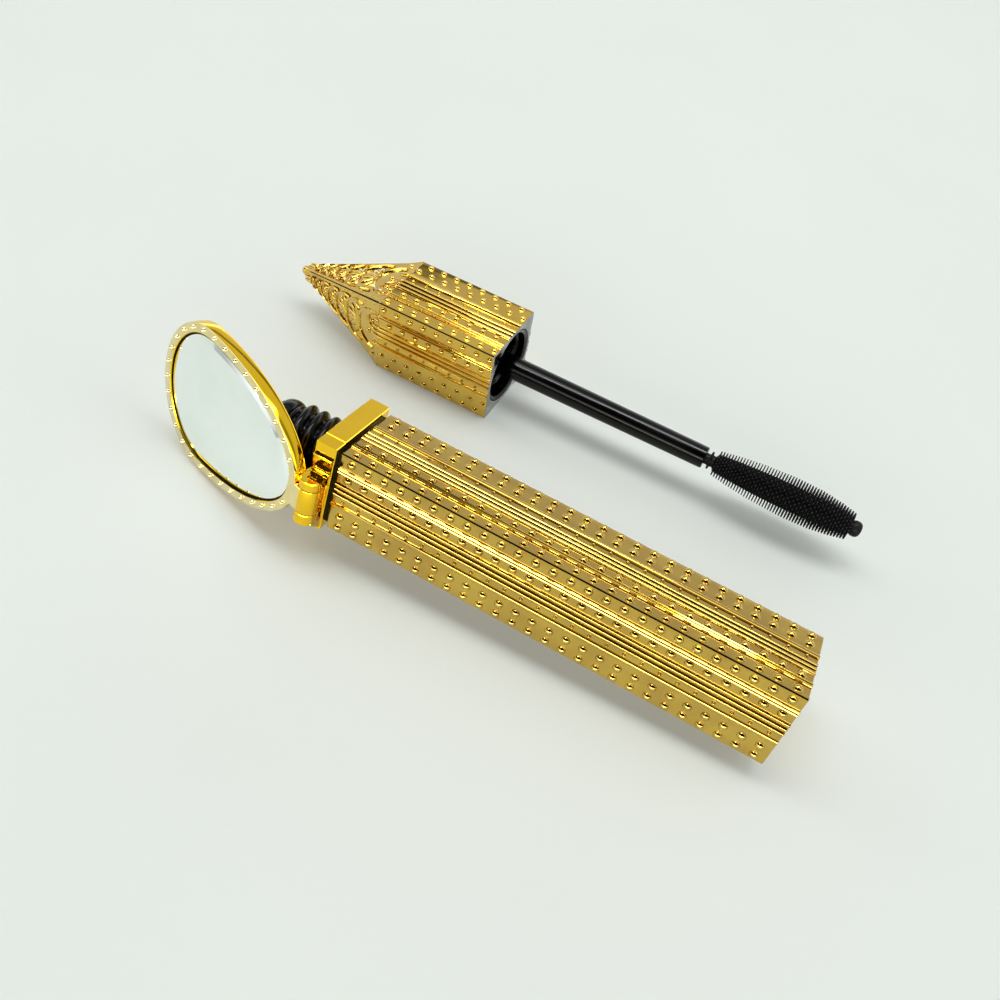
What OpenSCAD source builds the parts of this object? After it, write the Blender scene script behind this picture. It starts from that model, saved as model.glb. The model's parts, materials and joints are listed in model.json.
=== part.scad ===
// Square gilt mascara with a hinged egg-shaped mirror, laid open on a table.
// The tube lies propped by its mirror and the cap with its wand lies beside it.
// Row frame: +X from the collar to the base of the tube, +Z up, origin on the table.

/* [Sleeve] */
// Width of the square sleeve across its ribs
sleeve_side = 16; // [14:0.5:22]
// Length of the sleeve
sleeve_len = 80.5; // [72:0.5:110]
// Thickness of the sleeve wall under the ribs
sleeve_wall = 1; // [0.8:0.1:1.2]
// Height of the decorative ribs
rib_height = 0.3; // [0.1:0.05:0.4]
// Thickness of the plug that closes the sleeve
plug_len = 2.4; // [1:0.1:4]

/* [Bottle] */
// Gap between the sleeve and the round bottle in it
bottle_gap = 0.4; // [0.2:0.1:0.8]
// Wall thickness of the bottle
bottle_wall = 0.9; // [0.6:0.1:1.2]
// Length of neck that stands out of the collar
neck_len = 12; // [10:0.5:13]
// Height of the neck thread
thread_height = 1.1; // [0.6:0.1:1.3]
// Play between the neck thread and the cap
thread_clearance = 0.6; // [0.3:0.1:0.8]
// Distance from one thread crest to the next
thread_pitch = 2.4; // [2:0.1:3]
// Thickness of the black flange between sleeve and collar
flange_len = 0.7; // [0.4:0.1:1.5]

/* [Collar and hinge] */
// How far the collar stands out past each face of the sleeve
collar_overhang = 0.65; // [0.2:0.05:1.2]
// Thickness of the collar
collar_len = 3.9; // [3:0.1:6]
// Radius of the hinge lugs and barrel
barrel_r = 1.95; // [1.7:0.05:2.2]
// Radius of the hinge pin
pin_r = 0.75; // [0.5:0.05:0.9]
// Length of the barrel between the lugs
barrel_len = 4.8; // [3:0.1:5.5]
// Length of the upper lug
upper_lug_len = 1.7; // [1.2:0.1:3]
// Length of the lower lug
lower_lug_len = 4.1; // [2:0.1:4.5]
// Height of the barrel's middle above the tube's axis
barrel_mid = -1.2; // [-2:0.1:0]

/* [Mirror] */
// Half width of the egg-shaped mirror
mirror_half_width = 14.4; // [11:0.1:17]
// Distance from the widest place to the far end
mirror_far = 12.4; // [10:0.1:16]
// Distance from the widest place to the hinge end
mirror_near = 26.6; // [22:0.1:30]
// Thickness of the mirror frame
frame_depth = 2.6; // [2.2:0.1:3.2]
// Width of the rim around the glass
rim_width = 1.8; // [1.2:0.1:3]
// Thickness of the glass
glass_len = 1; // [0.6:0.1:1.2]
// Thickness of the adhesive pad behind the glass
pad_len = 0.4; // [0.2:0.1:0.5]

/* [Cap] */
// How far the cap stands out past each face of the sleeve
cap_overhang = 0.4; // [0.2:0.05:1.2]
// Thickness of the cap's wall under its ribs, where the inner cap is nearest
cap_wall = 0.5; // [0.4:0.1:1]
// Length of the straight part of the cap
cap_body_len = 25.8; // [22:0.1:36]
// Length of the pointed roof
spire_len = 24.2; // [18:0.1:32]
// Radius of the small ball on the point
finial_r = 1.1; // [0.8:0.1:1.4]
// Wall thickness of the inner cap
inner_cap_wall = 0.6; // [0.4:0.1:0.7]
// Thickness of the sealing liner
liner_len = 0.9; // [0.6:0.1:1.2]

/* [Wand] */
// Radius of the stem
stem_r = 2.25; // [2:0.05:2.4]
// Distance kept from the tip of the brush to the base of the closed tube
tip_gap = 10.9; // [7:0.1:16]
// Radius of the brush core
core_r = 1.5; // [1.2:0.1:1.6]
// Radius over the longest bristles
bristle_r = 4; // [3.4:0.1:4]
// Length of the bristle field
bristle_len = 27.6; // [22:0.1:32]
// Radius of the knob that ends the brush
knob_r = 1.8; // [1.2:0.1:2]

/* [Layout on the table] */
// How far the tube leans over onto its mirror
lean_deg = 14.4; // [12:0.1:16]
// How far the mirror is swung in over the neck
swing_in_deg = 19.6; // [17:0.1:20]
// How far the wand is turned from the tube's direction
cap_yaw_deg = -0.9; // [-2:0.1:2]
// Distance from the tube's axis across to the cap's axis
cap_aside = 43.3; // [36:0.1:60]
// Distance of the cap's mouth past the end of the sleeve
cap_ahead = 7.7; // [0:0.1:20]

/* [Hidden] */
$fn = 64;

gilt = [0.85, 0.66, 0.18];
black = [0.05, 0.05, 0.055];

// Fits
running_gap = 0.05;
seat_gap = 0.1;
swing_gap = 0.25;
lug_clearance = 0.6;

// Sleeve, the plug in its base and the bottle in it
half = sleeve_side / 2;
bore_half = half - rib_height - sleeve_wall;
plug_recess = 0.5;
bottle_end = sleeve_len - plug_recess - plug_len - seat_gap;
bottle_r = bore_half - bottle_gap;
flange_inset = 0.7;
collar_side = sleeve_side + 2 * collar_overhang;
collar_x = -flange_len - collar_len;
corner_len = 2.8;
corner_drop = 0.35;

// Cap over the neck: each radius is set inwards from the cap's own face
cap_side = sleeve_side + 2 * cap_overhang;
cap_bore_r = cap_side / 2 - rib_height - cap_wall;
inner_cap_r = cap_bore_r - inner_cap_wall;
crest_r = inner_cap_r - thread_clearance;
neck_r = crest_r - thread_height;
neck_bore_r = neck_r - bottle_wall;
neck_end = collar_x - neck_len;
crest_count = 3;
first_crest = 2.2;
crest_foot = 0.9;
crest_tip = 0.3;
crest_sink = 0.2;

// Ribs of one face: middle, as a share of the face from its ridge corner, and width in millimetres
RIBS = [[0.2, 0.9], [0.385, 0.6], [0.45, 0.6], [0.515, 0.6], [0.65, 0.8]];

// Wiper and the cavity of the inner cap
wiper_wall = 0.7;
wiper_lip = 1.2;
wiper_len = 8;
wiper_rim = 0.5;
orifice_r = stem_r + running_gap;
mouth_play = 0.6;
inner_cap_depth = neck_len + seat_gap + liner_len + mouth_play;
roof_x = -inner_cap_depth;
inner_cap_inset = 0.5;
inner_cap_roof = 2;

// Hinge: the pin stands outside the collar's near face, parallel to it
pin_y = -(collar_side / 2 + barrel_r + swing_gap);
pin_x = collar_x + barrel_r - 0.2;
barrel_top = barrel_mid + barrel_len / 2;
barrel_foot = barrel_mid - barrel_len / 2;
lug_top = barrel_top + seat_gap + upper_lug_len;
lug_foot = barrel_foot - seat_gap - lower_lug_len;

// Mirror frame: its front is flush with the barrel
frame_front = barrel_r + 0.1;
frame_back = frame_front - frame_depth;
hinge_reach = 1.4;
mirror_mid = mirror_near + hinge_reach;
glass_gap = 0.35;
glass_recess = 0.15;

// Brush
socket_r = 1.1;
socket_len = 6;
collar_ring_r = 1.75;
ring_gap = 0.45;
throat_len = 2.1;
knob_reach = 1.6;
wand_reach = sleeve_len - tip_gap - collar_x;
brush_end = wand_reach - knob_reach;
bristle_start = brush_end - bristle_len;
stem_out = bristle_start - throat_len;
bristle_start_r = 2.6;
bristle_end_r = 2.7;

// The tube rests on a corner of its base and on the mirror's lower edge, which sets its rise
mirror_x = pin_x - mirror_mid * cos(swing_in_deg) - frame_back * sin(swing_in_deg);
mirror_y = pin_y + mirror_mid * sin(swing_in_deg) - frame_back * cos(swing_in_deg);
mirror_drop = cos(lean_deg) * mirror_half_width + sin(lean_deg) * mirror_y;
corner_depth = (sin(lean_deg) + cos(lean_deg)) * half;
rise_deg = atan((mirror_drop - corner_depth) / (sleeve_len - mirror_x));
lift = sin(rise_deg) * sleeve_len + cos(rise_deg) * corner_depth;

// Layout: the object's box is centred on the origin
cap_len = cap_body_len + spire_len;
mirror_tip = pin_x - (mirror_mid + mirror_far) * cos(swing_in_deg);
low_x = min(cap_ahead - cap_len, mirror_tip);
high_x = max(cap_ahead + wand_reach, sleeve_len);
low_y = cos(lean_deg) * (pin_y - barrel_r) + sin(lean_deg) * lug_foot;
high_y = cap_aside + cap_side / 2 + abs(sin(cap_yaw_deg)) * cap_body_len;
row_x = -(low_x + high_x) / 2;
row_y = -(low_y + high_y) / 2;

module at_tube() {
    translate([row_x, row_y, lift]) rotate([-lean_deg, rise_deg, 0]) children();
}

// Mirror frame of reference: +X along the mirror from the pin, +Y out of the glass
module at_mirror() {
    at_tube() translate([pin_x, pin_y, 0]) rotate([0, 0, 180 - swing_in_deg]) children();
}

// Cap frame of reference: origin in the mouth, +X along the wand
module at_cap() {
    translate([row_x + cap_ahead, row_y + cap_aside, cap_side / 2])
        rotate([0, 0, cap_yaw_deg]) children();
}

// A round bar along X
module bar(r, from, to) {
    translate([from, 0, 0]) rotate([0, 90, 0]) cylinder(r = r, h = to - from);
}

// A square block along X
module block(side, from, to) {
    translate([from, -side / 2, -side / 2]) cube([to - from, side, side]);
}

// One face's outline from its ridge corner, as [along, out] points, ribs in relief
function face_points(side) = concat([[0, 0]], [for (r = RIBS) each
    [[r[0] * side - r[1] / 2 - rib_height / 2, 0], [r[0] * side - r[1] / 2, 1],
     [r[0] * side + r[1] / 2, 1], [r[0] * side + r[1] / 2 + rib_height / 2, 0]]]);

// Ribbed square outline: the ridge corners are at -X+Y and +X-Y of the outline
function ribbed_square(side) = let (
    h = side / 2, low = h - rib_height, p = face_points(side), n = len(p),
    top = [for (q = p) [-h + q[0], q[0] == 0 ? h : low + q[1] * rib_height]],
    left = [for (i = [n - 1:-1:1]) [-low - p[i][1] * rib_height, h - p[i][0]]],
    half_ring = concat(left, top, [[low, low]])
) concat(half_ring, [for (q = half_ring) -q]);

// The ribbed square extruded along X
module ribbed_bar(side, from, to) {
    translate([from, 0, 0]) rotate([90, 0, 90])
        linear_extrude(to - from) polygon(ribbed_square(side));
}

// Egg outline: two half ellipses that meet at the widest place, shrunk by inset
function egg(inset) = [for (i = [0:71]) let (
    a = i * 5, reach = cos(a) > 0 ? mirror_far : mirror_near
) [(reach - inset) * cos(a), (mirror_half_width - inset) * sin(a)]];

// An egg-shaped plate of the mirror, from one depth to another
module egg_plate(inset, from, to) {
    translate([mirror_mid, to, 0]) rotate([90, 0, 0])
        linear_extrude(to - from) polygon(egg(inset));
}

module outer_sleeve() {
    color(gilt) at_tube() difference() {
        ribbed_bar(sleeve_side, 0, sleeve_len);
        block(2 * bore_half, -1, sleeve_len + 1);
    }
}

module base_plug() {
    color(gilt) at_tube()
        block(2 * bore_half, sleeve_len - plug_recess - plug_len, sleeve_len - plug_recess);
}

module thread_crest(x) {
    translate([x, 0, 0]) rotate([0, 90, 0]) rotate_extrude()
        polygon([[neck_r - crest_sink, -crest_foot], [neck_r, -crest_foot], [crest_r, -crest_tip],
                 [crest_r, crest_tip], [neck_r, crest_foot], [neck_r - crest_sink, crest_foot]]);
}

module inner_bottle() {
    color(black) at_tube() difference() {
        union() {
            bar(bottle_r, -flange_len, bottle_end);
            block(sleeve_side - 2 * flange_inset, -flange_len, 0);
            bar(neck_r, neck_end, 0);
            for (i = [0:crest_count - 1]) thread_crest(collar_x - first_crest - i * thread_pitch);
        }
        bar(neck_bore_r, neck_end - 1, 0);
        bar(bottle_r - bottle_wall, 0, bottle_end - bottle_wall);
    }
}

module neck_wiper() {
    color([0.12, 0.12, 0.13]) at_tube() difference() {
        union() {
            bar(neck_r - 0.3, neck_end - wiper_rim, neck_end);
            bar(neck_bore_r, neck_end, neck_end + wiper_len);
        }
        bar(neck_bore_r - wiper_wall, neck_end - 1, neck_end + wiper_len - wiper_lip);
        bar(orifice_r, neck_end - 1, neck_end + wiper_len + 1);
    }
}

// A lug of the hinge: a round end about the pin and a web back to the collar
module lug(from, to) {
    translate([pin_x, pin_y, from]) cylinder(r = barrel_r, h = to - from);
    translate([pin_x - barrel_r, pin_y, from])
        cube([2 * barrel_r, -pin_y - collar_side / 2 + 0.5, to - from]);
}

module collar() {
    h = collar_side / 2;
    a = h - corner_len;
    b = h - corner_drop;
    outline = [[-a, h], [a, h], [b, b], [h, a], [h, -a], [b, -b],
               [a, -h], [-a, -h], [-b, -b], [-h, -a], [-h, a], [-b, b]];
    color(gilt) at_tube() difference() {
        union() {
            translate([collar_x, 0, 0]) rotate([90, 0, 90])
                linear_extrude(collar_len) polygon(outline);
            lug(barrel_top + seat_gap, lug_top);
            lug(lug_foot, barrel_foot - seat_gap);
        }
        bar(neck_r, collar_x - 1, 0);
        translate([pin_x, pin_y, lug_foot - 1]) cylinder(r = pin_r, h = lug_top - lug_foot + 2);
    }
}

module hinge_pin() {
    color("silver") at_tube() translate([pin_x, pin_y, lug_foot + 0.4])
        cylinder(r = pin_r, h = lug_top - lug_foot - 0.8);
}

module mirror_frame() {
    seat = frame_front - glass_recess - glass_len - pad_len;
    color(gilt) at_mirror() difference() {
        union() {
            difference() {
                union() {
                    egg_plate(0, frame_back, frame_front);
                    translate([0, frame_back, barrel_foot])
                        cube([5, frame_depth, barrel_len]);
                }
                for (z = [[barrel_top, 20], [barrel_foot - 20, 20]])
                    translate([0, 0, z[0]]) cylinder(r = barrel_r + lug_clearance, h = z[1]);
                translate([-10, -10, -20]) cube([10, 20, 40]);
            }
            translate([0, 0, barrel_foot]) cylinder(r = barrel_r, h = barrel_len);
        }
        egg_plate(rim_width, seat, frame_front + 1);
        translate([0, 0, barrel_foot - 1]) cylinder(r = pin_r + running_gap, h = barrel_len + 2);
    }
}

module mirror_pad() {
    seat = frame_front - glass_recess - glass_len - pad_len;
    color(black) at_mirror() egg_plate(rim_width, seat, seat + pad_len);
}

module mirror_glass() {
    front = frame_front - glass_recess;
    color([0.8, 0.86, 0.84]) at_mirror() egg_plate(rim_width + glass_gap, front - glass_len, front);
}

// Square roof that narrows to the point: two crossed wedges
module spire() {
    h = cap_side / 2 - rib_height;
    tip = 0.7;
    module wedge() {
        linear_extrude(cap_side, center = true)
            polygon([[-cap_body_len, h], [-cap_body_len, -h], [-cap_len + 1, -tip], [-cap_len + 1, tip]]);
    }
    intersection() {
        wedge();
        rotate([90, 0, 0]) wedge();
    }
    translate([-cap_len + finial_r, 0, 0]) sphere(r = finial_r);
}

module cap_shell() {
    hollow = inner_cap_depth + inner_cap_roof;
    color(gilt) at_cap() difference() {
        union() {
            ribbed_bar(cap_side, -cap_body_len, 0);
            spire();
        }
        bar(cap_bore_r, -hollow, 1);
        bar(cap_bore_r - 1, -cap_body_len, -hollow + 0.5);
        translate([-cap_body_len, 0, 0]) rotate([0, -90, 0])
            cylinder(r1 = cap_bore_r - 1.4, r2 = 0.6, h = spire_len - 5);
    }
}

module inner_cap() {
    color(black) at_cap() difference() {
        bar(cap_bore_r, roof_x - inner_cap_roof, -inner_cap_inset);
        bar(inner_cap_r, roof_x, 1);
        bar(stem_r, roof_x - inner_cap_roof - 1, 1);
    }
}

module cap_liner() {
    color([0.8, 0.8, 0.78]) at_cap() difference() {
        bar(inner_cap_r - running_gap, roof_x + seat_gap, roof_x + seat_gap + liner_len);
        bar(stem_r + running_gap, roof_x, 0);
    }
}

module wand_stem() {
    color(black) at_cap() difference() {
        bar(stem_r, roof_x - inner_cap_roof, stem_out);
        bar(socket_r, stem_out - socket_len, stem_out + 1);
    }
}

module brush_core() {
    color(black) at_cap() {
        bar(socket_r, stem_out - socket_len, bristle_start);
        bar(collar_ring_r, stem_out + ring_gap, bristle_start - ring_gap);
        bar(core_r, bristle_start, brush_end);
        intersection() {
            translate([brush_end - 0.2, 0, 0]) sphere(r = knob_r);
            bar(knob_r, brush_end - 0.4, wand_reach);
        }
    }
}

module brush_bristles() {
    color(black) at_cap() translate([bristle_start, 0, 0]) rotate([0, 90, 0]) rotate_extrude()
        polygon([[core_r, 0.1], [bristle_start_r, 0.1], [0.5 * (bristle_start_r + bristle_r) + 0.3, 0.3 * bristle_len],
                 [bristle_r, 0.55 * bristle_len], [bristle_r - 0.3, 0.8 * bristle_len],
                 [bristle_end_r, bristle_len - 0.5], [core_r, bristle_len - 0.5]]);
}

outer_sleeve();
base_plug();
inner_bottle();
neck_wiper();
collar();
hinge_pin();
mirror_frame();
mirror_pad();
mirror_glass();
cap_liner();
cap_shell();
inner_cap();
wand_stem();
brush_core();
brush_bristles();
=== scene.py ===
"""Looks of a square gilt mascara laid open: relief sleeve, hinged mirror, pointed cap with its wand."""

import json
import math

import bpy
from mathutils import Matrix, Vector


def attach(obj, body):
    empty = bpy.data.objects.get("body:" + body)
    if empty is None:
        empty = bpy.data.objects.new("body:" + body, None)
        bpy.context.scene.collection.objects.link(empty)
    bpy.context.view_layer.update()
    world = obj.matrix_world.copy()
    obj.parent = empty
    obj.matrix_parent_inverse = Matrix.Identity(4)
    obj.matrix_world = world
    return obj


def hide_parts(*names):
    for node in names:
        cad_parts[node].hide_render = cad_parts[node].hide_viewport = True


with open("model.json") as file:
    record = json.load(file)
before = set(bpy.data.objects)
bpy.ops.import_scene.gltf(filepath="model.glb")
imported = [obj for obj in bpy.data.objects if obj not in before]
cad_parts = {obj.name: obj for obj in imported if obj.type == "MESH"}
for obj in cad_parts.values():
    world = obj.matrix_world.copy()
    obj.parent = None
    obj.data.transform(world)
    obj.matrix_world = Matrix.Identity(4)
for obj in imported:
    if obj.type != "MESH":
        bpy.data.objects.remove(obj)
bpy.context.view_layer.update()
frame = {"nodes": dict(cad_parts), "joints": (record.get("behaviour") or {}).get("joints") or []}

# ---------------------------------------------------------------- sizes, in millimetres
MM = 0.001

SLEEVE_SIDE = 16.0
SLEEVE_LEN = 80.5
BORE_HALF = 6.7
PLUG_LEN = 2.4
PLUG_RECESS = 0.5
# The ribs stand RELIEF above the flats, and the flats lie FLAT_DROP under the outer size
RELIEF = 0.42
FLAT_DROP = 0.1

FLANGE_LEN = 0.7
FLANGE_INSET = 0.7
COLLAR_SIDE = 17.3
COLLAR_LEN = 3.9
COLLAR_X = -FLANGE_LEN - COLLAR_LEN
NECK_R = 5.3
NECK_LEN = 12.0
NECK_END = COLLAR_X - NECK_LEN

BARREL_R = 1.95
BARREL_LEN = 4.8
BARREL_MID = -1.2
BARREL_TOP = BARREL_MID + BARREL_LEN / 2
BARREL_FOOT = BARREL_MID - BARREL_LEN / 2
SEAT_GAP = 0.1
LUG_TOP = BARREL_TOP + SEAT_GAP + 1.7
# The hinge's back plate reaches down to LUG_FOOT, the round eye of the lower lug only to EYE_FOOT
LUG_FOOT = BARREL_FOOT - SEAT_GAP - 4.1
EYE_FOOT = BARREL_FOOT - SEAT_GAP - 2.2
PIN_R = 0.75
PIN_X = COLLAR_X + BARREL_R - 0.2
PIN_Y = -(COLLAR_SIDE / 2 + BARREL_R + 0.25)

MIRROR_HALF_WIDTH = 14.4
MIRROR_FAR = 12.4
MIRROR_NEAR = 26.6
MIRROR_MID = MIRROR_NEAR + 1.4
FRAME_FRONT = BARREL_R + 0.1
FRAME_BACK = FRAME_FRONT - 2.6
RIM_WIDTH = 1.8
GLASS_GAP = 0.35
GLASS_FRONT = FRAME_FRONT - 0.15
GLASS_LEN = 1.0
GLASS_BACK = GLASS_FRONT - GLASS_LEN
SEAT_DEPTH = GLASS_BACK - 0.4
SWING_IN = math.radians(19.6)

CAP_SIDE = 16.8
CAP_BODY_LEN = 25.8
SPIRE_LEN = 24.2
CAP_LEN = CAP_BODY_LEN + SPIRE_LEN
CAP_BORE_R = 7.6
INNER_CAP_R = 7.0
INNER_CAP_DEPTH = 13.6

STEM_OUT = 42.9
BRISTLE_START = 45.0
BRISTLE_END = 72.6

# ---------------------------------------------------------------- frames of reference
joints = {joint["name"]: joint for joint in frame["joints"]}


def placed(origin, along, up):
    """The matrix that takes millimetres in a local frame to metres in the model's own frame."""
    side = up.cross(along)
    turn = Matrix((along, side, up)).transposed().to_4x4()
    return Matrix.Translation(origin) @ turn @ Matrix.Scale(MM, 4)


pin_place = Vector(joints["mirror_swing"]["pos_m"])
tube_up = Vector(joints["mirror_swing"]["axis"]).normalized()
rise = math.atan2(tube_up.x, tube_up.z)
tube_along = Vector((math.cos(rise), 0, -math.sin(rise)))
tube_side = tube_up.cross(tube_along)
pin_level = pin_place - BARREL_MID * MM * tube_up
tube_origin = pin_level - MM * (PIN_X * tube_along + PIN_Y * tube_side)
mirror_along = math.sin(SWING_IN) * tube_side - math.cos(SWING_IN) * tube_along

AT_TUBE = placed(tube_origin, tube_along, tube_up)
AT_MIRROR = placed(pin_level, mirror_along, tube_up)
AT_CAP = placed(
    Vector(joints["cap_turn"]["pos_m"]), Vector(joints["cap_turn"]["axis"]).normalized(), Vector((0, 0, 1))
)


# ---------------------------------------------------------------- materials
def linear(hex_colour):
    """An sRGB hex colour as linear RGBA."""
    channels = [int(hex_colour[i : i + 2], 16) / 255 for i in (1, 3, 5)]
    return [c / 12.92 if c <= 0.04045 else ((c + 0.055) / 1.055) ** 2.4 for c in channels] + [1.0]


def add_node(tree, kind, values=None, links=None, **settings):
    """One node with its settings, its socket values and the links into it."""
    made = tree.nodes.new(kind)
    for name, value in settings.items():
        setattr(made, name, value)
    for socket, value in (values or {}).items():
        made.inputs[socket].default_value = value
    for socket, source in (links or {}).items():
        tree.links.new(source, made.inputs[socket])
    return made


def new_material(name):
    """An empty node material and the object coordinates that its patterns read."""
    material = bpy.data.materials.new(name)
    material.use_nodes = True
    tree = material.node_tree
    tree.nodes.clear()
    coordinates = add_node(tree, "ShaderNodeTexCoord").outputs["Object"]
    return material, tree, coordinates


def noise(tree, coordinates, size_mm, detail=2.0, roughness=0.5):
    """A noise whose largest features are size_mm across."""
    values = {"Scale": 1 / (size_mm * MM), "Detail": detail, "Roughness": roughness}
    return add_node(tree, "ShaderNodeTexNoise", values, {"Vector": coordinates}).outputs["Fac"]


def blend_colours(tree, factor, first, second, low=0.35, high=0.65):
    """Two colours mixed by a pattern, between its low and high values."""
    ramp = add_node(tree, "ShaderNodeValToRGB", links={"Fac": factor})
    ramp.color_ramp.elements[0].position = low
    ramp.color_ramp.elements[0].color = linear(first)
    ramp.color_ramp.elements[1].position = high
    ramp.color_ramp.elements[1].color = linear(second)
    return ramp.outputs["Color"]


def spread(tree, factor, low, high):
    """A pattern's middle values spread from low to high."""
    values = {"From Min": 0.3, "From Max": 0.7, "To Min": low, "To Max": high}
    return add_node(tree, "ShaderNodeMapRange", values, {"Value": factor}).outputs["Result"]


def bump(tree, height, depth_mm):
    """A relief of depth_mm from a pattern."""
    values = {"Strength": 1.0, "Distance": depth_mm * MM}
    return add_node(tree, "ShaderNodeBump", values, {"Height": height}).outputs["Normal"]


def shade(tree, values, links):
    """The surface shader and the output."""
    surface = add_node(tree, "ShaderNodeBsdfPrincipled", values, links)
    add_node(tree, "ShaderNodeOutputMaterial", links={"Surface": surface.outputs["BSDF"]})


def gilt_plated_abs(name, deep, light):
    """Vacuum-metallised ABS under a clear lacquer: mirror-bright in gold, with a very faint orange peel."""
    material, tree, place = new_material(name)
    peel = noise(tree, place, 2.6, detail=1.0)
    haze = noise(tree, place, 5.0, detail=3.0)
    shade(
        tree,
        {"Metallic": 1.0, "Coat Weight": 1.0, "Coat Roughness": 0.04, "Coat IOR": 1.6},
        {
            "Base Color": blend_colours(tree, haze, deep, light),
            "Roughness": spread(tree, haze, 0.07, 0.12),
            "Normal": bump(tree, peel, 0.003),
        },
    )
    return material


def polished_gilt_abs():
    """The same plating on smooth mouldings such as the collar and the mirror's frame: flatter and clearer."""
    material, tree, place = new_material("polished_gilt_abs")
    flow = noise(tree, place, 3.2, detail=1.0)
    haze = noise(tree, place, 7.0, detail=3.0)
    shade(
        tree,
        {"Metallic": 1.0, "Coat Weight": 0.3, "Coat Roughness": 0.03},
        {
            "Base Color": blend_colours(tree, haze, "#F4C414", "#F7CA20"),
            "Roughness": spread(tree, haze, 0.07, 0.12),
            "Normal": bump(tree, flow, 0.02),
        },
    )
    return material


def rim_gilt_painted_pale():
    """The plating on the mirror's rim, painted a paler, creamier gold as a painted reflection of the pale
    table, with a soft sheen.
    """
    material, tree, place = new_material("rim_gilt_painted_pale")
    haze = noise(tree, place, 3.0, detail=3.0)
    shade(
        tree,
        {"Metallic": 1.0, "Coat Weight": 1.0, "Coat Roughness": 0.1, "Coat IOR": 1.6},
        {
            "Base Color": blend_colours(tree, haze, "#E6D286", "#EEDC9C"),
            "Roughness": spread(tree, haze, 0.14, 0.24),
        },
    )
    return material


def black_gloss_pp():
    """Black polypropylene from a polished mould: wet-looking, with faint flow marks."""
    material, tree, place = new_material("black_gloss_pp")
    flow = noise(tree, place, 2.4, detail=2.0)
    haze = noise(tree, place, 6.0)
    shade(
        tree,
        {"IOR": 1.49, "Specular IOR Level": 0.22},
        {
            "Base Color": blend_colours(tree, haze, "#030304", "#070708"),
            "Roughness": spread(tree, haze, 0.1, 0.2),
            "Normal": bump(tree, flow, 0.015),
        },
    )
    return material


def bare_grey_abs():
    """Bare ABS where the plating stops at the cap's mouth: satin grey with fine moulding grain."""
    material, tree, place = new_material("bare_grey_abs")
    grain = noise(tree, place, 0.35, detail=2.0)
    stain = noise(tree, place, 2.2)
    shade(
        tree,
        {"IOR": 1.54, "Metallic": 0.25},
        {
            "Base Color": blend_colours(tree, stain, "#838685", "#A8AAA6"),
            "Roughness": spread(tree, stain, 0.3, 0.45),
            "Normal": bump(tree, grain, 0.008),
        },
    )
    return material


def silvered_glass():
    """A silvered mirror: the green cast of float glass, a trace of smear and nothing else."""
    material, tree, place = new_material("silvered_glass")
    smear = noise(tree, place, 9.0, detail=4.0, roughness=0.6)
    shade(
        tree,
        {"Metallic": 1.0},
        {
            "Base Color": blend_colours(tree, smear, "#F1F8F4", "#F6FBF8"),
            "Roughness": spread(tree, smear, 0.015, 0.05),
        },
    )
    return material


def black_pbt():
    """Moulded PBT of the brush core: satin black, with duller patches and a slight unevenness."""
    material, tree, place = new_material("black_pbt")
    film = noise(tree, place, 1.2, detail=3.0)
    shade(
        tree,
        {"IOR": 1.55, "Specular IOR Level": 0.15},
        {
            "Base Color": blend_colours(tree, film, "#030304", "#070708"),
            "Roughness": spread(tree, film, 0.35, 0.6),
            "Normal": bump(tree, film, 0.03),
        },
    )
    return material


def black_bristle_tpe():
    """Thermoplastic elastomer of the bristles: matte black, a little greyer in patches."""
    material, tree, place = new_material("black_bristle_tpe")
    mottle = noise(tree, place, 0.8)
    shade(
        tree,
        {"IOR": 1.5},
        {
            "Base Color": blend_colours(tree, mottle, "#050505", "#101011"),
            "Roughness": spread(tree, mottle, 0.45, 0.65),
        },
    )
    return material


def soft_ldpe():
    """Low-density polyethylene of the wiper: waxy dark grey with a soft sheen."""
    material, tree, place = new_material("soft_ldpe")
    wax = noise(tree, place, 1.5, detail=3.0)
    shade(
        tree,
        {"IOR": 1.51},
        {
            "Base Color": blend_colours(tree, wax, "#17181A", "#222326"),
            "Roughness": spread(tree, wax, 0.3, 0.45),
            "Normal": bump(tree, wax, 0.01),
        },
    )
    return material


def black_foam():
    """Closed-cell foam of the adhesive pad behind the glass: matte black with fine cells."""
    material, tree, place = new_material("black_foam")
    cells = add_node(
        tree, "ShaderNodeTexVoronoi", {"Scale": 1 / (0.4 * MM)}, {"Vector": place}
    ).outputs["Distance"]
    shade(
        tree,
        {"IOR": 1.45},
        {
            "Base Color": blend_colours(tree, cells, "#060606", "#141414", 0.1, 0.7),
            "Roughness": spread(tree, cells, 0.75, 0.9),
            "Normal": bump(tree, cells, 0.03),
        },
    )
    return material


def white_pe():
    """Foamed polyethylene of the sealing liner: soft off-white with a fine skin."""
    material, tree, place = new_material("white_pe")
    skin = noise(tree, place, 0.6, detail=3.0)
    shade(
        tree,
        {"IOR": 1.5},
        {
            "Base Color": blend_colours(tree, skin, "#C9C9C4", "#DCDCD8"),
            "Roughness": spread(tree, skin, 0.5, 0.65),
            "Normal": bump(tree, skin, 0.012),
        },
    )
    return material


def drawn_steel():
    """Drawn steel wire of the hinge pin: bright, with fine lines along its length."""
    material, tree, place = new_material("drawn_steel")
    stretched = add_node(
        tree, "ShaderNodeMapping", {"Scale": (1.0, 1.0, 0.08)}, {"Vector": place}
    ).outputs["Vector"]
    lines = noise(tree, stretched, 0.12, detail=3.0)
    shade(
        tree,
        {"Metallic": 1.0},
        {
            "Base Color": blend_colours(tree, lines, "#8E8A80", "#B9B4A6"),
            "Roughness": spread(tree, lines, 0.22, 0.36),
            "Normal": bump(tree, lines, 0.004),
        },
    )
    return material


# The same gilt plating in two copies: the tube's is darkened, painted shade for the shaded table that its
# near faces reflect, and the cap's is lighter, painted light for the brighter light that falls on the cap.
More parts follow.
